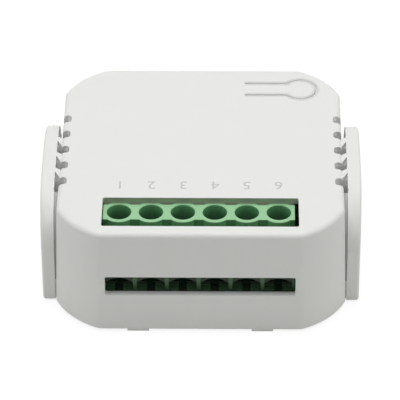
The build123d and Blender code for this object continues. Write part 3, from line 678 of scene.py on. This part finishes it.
def make_numbers(materials):
    """Plain numbers 1 to 6 printed on the lid behind the terminal window, read from the back."""
    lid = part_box("top_shell")[1].z
    for number in range(1, ROW_COUNT + 1):
        text = bpy.data.curves.new(f"number_{number}", "FONT")
        text.body = str(number)
        text.size = NUMBER_HEIGHT * MM / NUMBER_HEIGHT_SHARE
        text.align_x = "CENTER"
        text.align_y = "CENTER"
        text.extrude = INK_THICKNESS * MM / 2
        text.resolution_u = NUMBER_CURVE_STEPS
        drawn = bpy.data.objects.new(f"text_{number}", text)
        show(drawn)
        bpy.context.view_layer.update()
        shaped = drawn.evaluated_get(bpy.context.evaluated_depsgraph_get())
        mesh = bpy.data.meshes.new_from_object(shaped)
        bpy.data.objects.remove(drawn)
        place = (middle_x(f"terminal_screw_{number}"), NUMBER_LINE * MM, lid)
        mesh.transform(Matrix.Translation(place) @ Matrix.Rotation(math.pi, 4, "Z"))
        mesh.materials.clear()
        mesh.materials.append(materials["ink"])
        piece = bpy.data.objects.new(f"printed_number_{number}", mesh)
        show(piece)
        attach(piece, "module")


def make_prism(name, outline, step, material, body):
    """Piece with a flat outline of points, drawn out by a step."""
    mesh = bpy.data.meshes.new(name)
    shape = bmesh.new()
    base = shape.faces.new([shape.verts.new(Vector(point) * MM) for point in outline])
    raised = bmesh.ops.extrude_face_region(shape, geom=[base])["geom"]
    lifted = [v for v in raised if isinstance(v, bmesh.types.BMVert)]
    bmesh.ops.translate(shape, verts=lifted, vec=Vector(step) * MM)
    bmesh.ops.recalc_face_normals(shape, faces=shape.faces)
    shape.to_mesh(mesh)
    shape.free()
    piece = bpy.data.objects.new(name, mesh)
    show(piece)
    mesh.materials.append(material)
    edge = piece.modifiers.new("edge", "BEVEL")
    edge.width = TRIM_EDGE_WIDTH * MM
    edge.segments = EDGE_SEGMENTS
    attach(piece, body)


def make_bars(materials):
    """Slanted tops of the bars that run from the lid's edge to the ears."""
    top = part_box("top_shell")[1].z / MM - BAR_DROP
    for side, word in ((-1, "left"), (1, "right")):
        for number, place in enumerate(BAR_PLACES, 1):
            outline = [
                (side * CASE_LID_HALF, place - BAR_ROOT / 2, top),
                (side * EAR_INNER, place + BAR_SKEW - BAR_TIP / 2, top),
                (side * EAR_INNER, place + BAR_SKEW + BAR_TIP / 2, top),
                (side * CASE_LID_HALF, place + BAR_ROOT / 2, top),
            ]
            make_prism(
                f"{word}_bar_top_{number}", outline, (0, 0, -BAR_THICKNESS),
                materials["case"], "module",
            )


def make_ear_joints(materials):
    """Plastic that closes the gap between each ear and the case a little below the ear's edge,
    coloured darker as painted shade.
    """
    arc_middle_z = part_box("top_shell")[1].z / MM - EAR_DROP - EAR_CORNER
    arc_middle_y = EAR_FRONT + EAR_CORNER
    profile = [(JOINT_BACK, JOINT_LOW), (EAR_FRONT + JOINT_DEPTH / 2, JOINT_LOW)]
    for count in range(JOINT_STEPS + 1):
        angle = math.radians(180 - JOINT_ARC * count / JOINT_STEPS)
        y = arc_middle_y + (EAR_CORNER - JOINT_DEPTH / 2) * math.cos(angle)
        z = arc_middle_z + (EAR_CORNER - JOINT_DEPTH) * math.sin(angle)
        if y < JOINT_BACK:
            profile.append((y, z))
    profile.append((JOINT_BACK, profile[-1][1] + JOINT_TOP_RISE))
    width = EAR_INNER - CASE_LID_HALF
    for side, word in ((-1, "left"), (1, "right")):
        outline = [(side * CASE_LID_HALF, y, z) for y, z in profile]
        make_prism(
            f"{word}_ear_joint", outline, (side * width, 0, 0),
            materials["joint"], "module",
        )


def tongue_side(growth):
    """Points along one side of the press tongue's outline, from its root to its tip."""
    stem = KEY_STEM_HALF + growth
    head = KEY_HEAD_RADIUS + growth
    blend = KEY_BLEND_RADIUS
    blend_y = stem + blend
    blend_x = -math.sqrt((head + blend) ** 2 - blend_y ** 2)
    meet = math.atan2(blend_y, blend_x)
    points = [(-KEY_REACH - GROOVE_LEDGE_OVERLAP, stem)]
    for step in range(GROOVE_STEPS + 1):
        angle = -math.pi / 2 + (meet - math.pi / 2) * step / GROOVE_STEPS
        points.append((blend_x + blend * math.cos(angle), blend_y + blend * math.sin(angle)))
    for step in range(1, 2 * GROOVE_STEPS + 1):
        angle = meet * (1 - step / (2 * GROOVE_STEPS))
        points.append((head * math.cos(angle), head * math.sin(angle)))
    return points


def make_groove_ledge(materials):
    """Thin ledge on the lid's side that leaves a shallow groove round the press tongue."""
    low, high = (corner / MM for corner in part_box("reset_key"))
    head_x = high.x - KEY_HEAD_RADIUS + GROOVE_HALF
    head_y = (low.y + high.y) / 2
    outer = tongue_side(GROOVE_HALF + GROOVE_LEDGE_OVERLAP)
    inner = tongue_side(GROOVE_LEDGE_GAP - GROOVE_HALF)
    ring = outer + [(x, -y) for x, y in reversed(outer[:-1])]
    ring += [(x, -y) for x, y in inner] + list(reversed(inner[:-1]))
    top = high.z - GROOVE_LEDGE_DEPTH
    outline = [(head_x + x, head_y + y, top) for x, y in ring]
    make_prism(
        "groove_floor", outline, (0, 0, -GROOVE_LEDGE_THICKNESS),
        materials["groove"], "module",
    )


def make_window_lip(materials):
    """Narrow lip between the back of the terminals and the rear edge of the lid window."""
    low, high = (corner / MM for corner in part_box("terminal_block"))
    top = high.z - LIP_TOP_GAP
    left, right = low.x + LIP_OVERLAP, high.x - LIP_OVERLAP
    front, back = WINDOW_BACK - LIP_FRONT, WINDOW_BACK + LIP_OVERLAP
    outline = [(left, front, top), (right, front, top), (right, back, top), (left, back, top)]
    make_prism(
        "window_lip", outline, (0, 0, -LIP_THICKNESS), materials["lip"], "module"
    )


def seen_directly(nodes):
    """1 where a camera, glossy or transmission ray arrives, otherwise 0."""
    path = nodes.add("ShaderNodeLightPath").outputs
    seen = nodes.combine("MAXIMUM", path["Is Camera Ray"], path["Is Glossy Ray"])
    return nodes.combine("MAXIMUM", seen, path["Is Transmission Ray"])


def make_world():
    """White backdrop with an even, dimmer sky light on the object."""
    world = bpy.data.worlds.new("studio")
    bpy.context.scene.world = world
    world.use_nodes = True
    nodes = Nodes(world.node_tree)
    background = world.node_tree.nodes["Background"]
    background.inputs["Color"].default_value = (1, 1, 1, 1)
    level = nodes.spread(seen_directly(nodes), SKY_LEVEL, 1.0, 0.0, 1.0)
    nodes.link(level, background.inputs["Strength"])


def make_floor():
    """Pale plain floor that keeps a soft shadow under a white field."""
    mesh = bpy.data.meshes.new("floor")
    half = FLOOR_SIZE / 2
    shape = bmesh.new()
    corners = ((-half, -half), (half, -half), (half, half), (-half, half))
    shape.faces.new([shape.verts.new((x, y, 0)) for x, y in corners])
    shape.to_mesh(mesh)
    shape.free()
    floor = bpy.data.objects.new("floor", mesh)
    show(floor)
    material = bpy.data.materials.new("floor")
    material.use_nodes = True
    nodes = Nodes(material.node_tree)
    tree = material.node_tree
    tree.nodes.remove(tree.nodes["Principled BSDF"])
    matt = nodes.add("ShaderNodeBsdfDiffuse", Color=FLOOR_COLOUR)
    glow = nodes.add("ShaderNodeEmission", Color=(1, 1, 1, 1), Strength=FLOOR_GLOW)
    mix = nodes.add("ShaderNodeMixShader")
    share = nodes.spread(seen_directly(nodes), 0.0, 1 - FLOOR_SHADE_SHARE, 0.0, 1.0)
    nodes.link(share, mix.inputs[0])
    nodes.link(matt.outputs[0], mix.inputs[1])
    nodes.link(glow.outputs[0], mix.inputs[2])
    nodes.link(mix.outputs[0], tree.nodes["Material Output"].inputs["Surface"])
    mesh.materials.append(material)


def make_lamps():
    """Soft square lamps: a wide one overhead and a weaker one at each side."""
    for name, power, size, place in LAMPS:
        data = bpy.data.lights.new(name, "AREA")
        data.energy = power
        data.size = size
        lamp = bpy.data.objects.new(name, data)
        show(lamp)
        lamp.location = place
        aim = Vector(LAMP_AIM) - Vector(place)
        lamp.rotation_euler = aim.to_track_quat("-Z", "Y").to_euler()


make_camera()
finishes = make_materials()
dress_nodes(finishes)
make_numbers(finishes)
make_bars(finishes)
make_ear_joints(finishes)
make_groove_ledge(finishes)
make_window_lip(finishes)
make_world()
make_floor()
make_lamps()
bpy.context.scene.view_settings.view_transform = "Standard"
